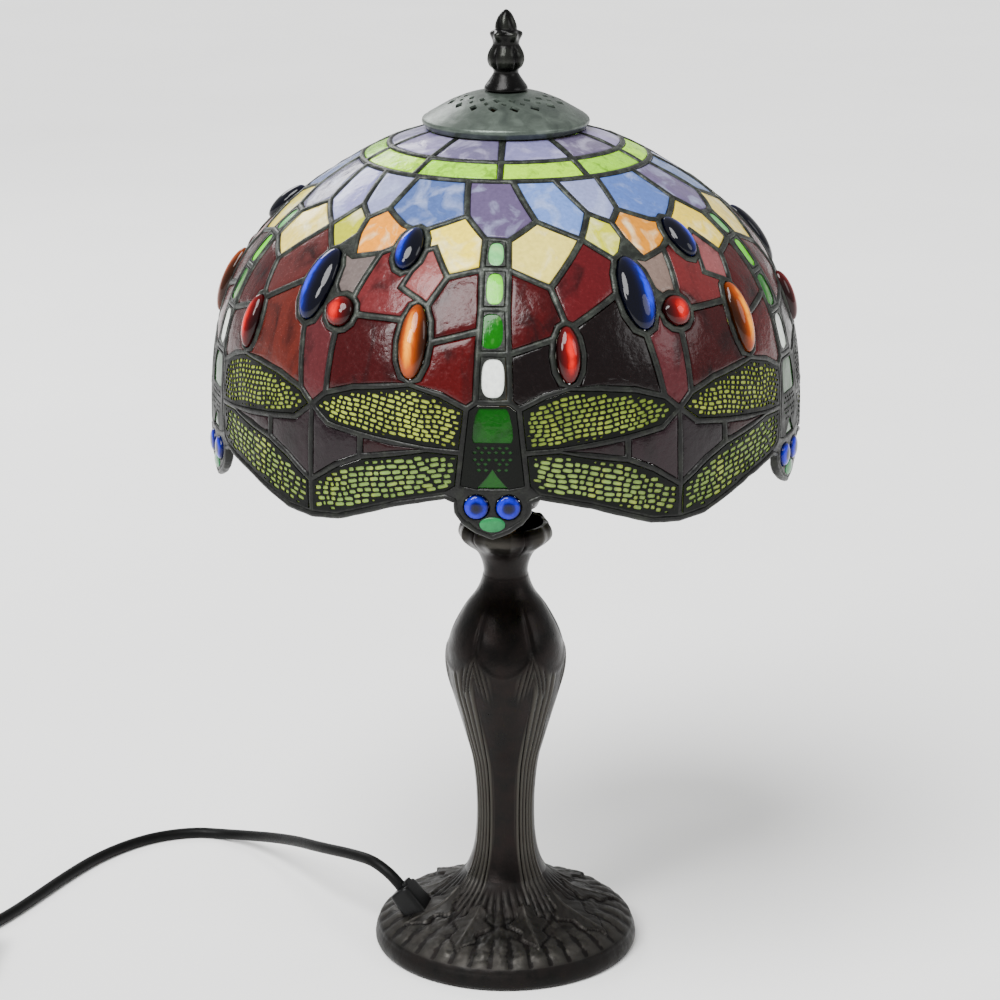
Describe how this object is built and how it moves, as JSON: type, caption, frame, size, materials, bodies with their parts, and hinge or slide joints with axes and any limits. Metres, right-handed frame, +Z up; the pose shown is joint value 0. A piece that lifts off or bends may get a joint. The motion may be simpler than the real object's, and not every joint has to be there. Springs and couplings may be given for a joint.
{
  "type": "table lamp",
  "caption": "Table lamp with a domed leaded glass shade of dragonflies with jewel eyes, a cast bronze column with a bud and a lily-leaf foot, a finial, a switch and a plug",
  "frame": {"origin": "Centre of the foot's underside, on the table", "axes": "+Z up along the lamp's axis, -Y the side with the front dragonfly, +X to the right of it"},
  "size_m": [0.536, 0.3205, 0.5012],
  "materials": {
    "felt": "green felt",
    "ballast": "plain casting",
    "steel": "zinc plated steel",
    "bronze": "dark brown bronze patina with worn ribs",
    "gilt_brass": "aged brass",
    "wire": "insulated lamp wire",
    "bulb_glass": "frosted lamp glass",
    "phenolic": "dark moulded insulator",
    "lead": "solder with a grey green patina",
    "lavender_glass": "pale lavender opalescent sheet",
    "lime_glass": "streaky lime sheet",
    "lilac_glass": "hammered pale blue sheet",
    "amber_glass": "cream to amber opalescent sheet",
    "red_glass": "dark red textured sheet",
    "wing_glass": "yellow green opalescent sheet",
    "body_glass": "deep green sheet",
    "tail_glass": "mint to green sheet",
    "head_glass": "mint sheet",
    "blue_jewel": "pressed blue cabochon",
    "amber_jewel": "pressed amber cabochon",
    "red_jewel": "pressed red cabochon",
    "eye_jewel": "pressed cobalt cabochon",
    "filigree": "blackened etched brass",
    "cap_patina": "grey green patina on brass",
    "finial_bronze": "near black bronze",
    "black_plastic": "black moulding",
    "rocker_plastic": "black moulding",
    "cord": "black mains cord",
    "blade": "plated plug blades"
  },
  "bodies": {
    "column": {"felt_pad": "felt", "ballast": "ballast", "rod_nut": "steel", "lock_washer": "steel", "foot_casting": "bronze", "stem_casting": "bronze", "bud_casting": "bronze", "leaf_cup": "bronze", "threaded_rod": "steel", "lamp_wire": "wire", "cup_nut": "steel", "spacer": "gilt_brass", "harp_saddle": "gilt_brass", "harp": "gilt_brass", "harp_stud": "gilt_brass", "socket_cap": "bronze", "socket_shell": "gilt_brass", "socket_core": "phenolic", "screw_shell": "gilt_brass", "centre_contact": "gilt_brass", "cord_gland": "black_plastic", "gland_screw": "steel", "cord_lamp": "cord", "cord_lead": "cord", "cord_coil": "cord", "cord_tail": "cord", "cord_tie": "black_plastic", "switch_base": "black_plastic", "switch_cover": "black_plastic", "plug_body": "black_plastic", "plug_blades": "blade"},
    "bulb": {"bulb_glass": "bulb_glass", "bulb_base": "steel"},
    "front_ferrule": {"ferrule_front": "gilt_brass"},
    "back_ferrule": {"ferrule_back": "gilt_brass"},
    "shade": {"lead_came": "lead", "glass_lavender": "lavender_glass", "glass_lime": "lime_glass", "glass_lilac": "lilac_glass", "glass_amber": "amber_glass", "glass_red": "red_glass", "glass_wing": "wing_glass", "glass_body": "body_glass", "glass_tail": "tail_glass", "glass_head": "head_glass", "blue_jewels": "blue_jewel", "amber_jewels": "amber_jewel", "red_jewels": "red_jewel", "eyes": "eye_jewel", "wing_filigree": "filigree", "body_filigree": "filigree", "rim_wire": "lead", "crown_ring": "gilt_brass", "spider_wheel": "gilt_brass", "heat_cap": "cap_patina", "seat_washer": "finial_bronze"},
    "finial": {"finial": "finial_bronze"},
    "rocker": {"switch_rocker": "rocker_plastic"}
  },
  "joints": [
    {"name": "bulb_turn", "type": "hinge", "parent": "column", "child": "bulb", "pos_m": [0, 0, 0.262], "axis": [0, 0, 1], "continuous": true},
    {"name": "front_ferrule_slide", "type": "slide", "parent": "column", "child": "front_ferrule", "axis": [0, 0, 1], "range_m": [0, 0.012]},
    {"name": "back_ferrule_slide", "type": "slide", "parent": "column", "child": "back_ferrule", "axis": [0, 0, 1], "range_m": [0, 0.012]},
    {"name": "shade_turn", "type": "hinge", "parent": "column", "child": "shade", "pos_m": [0, 0, 0.4395], "axis": [0, 0, 1], "continuous": true},
    {"name": "finial_turn", "type": "hinge", "parent": "column", "child": "finial", "pos_m": [0, 0, 0.462], "axis": [0, 0, 1], "continuous": true},
    {"name": "rocker_tip", "type": "hinge", "parent": "column", "child": "rocker", "pos_m": [-0.288, -0.06, 0.015], "axis": [1, 0, 0], "range_deg": [-12, 0]}
  ]
}
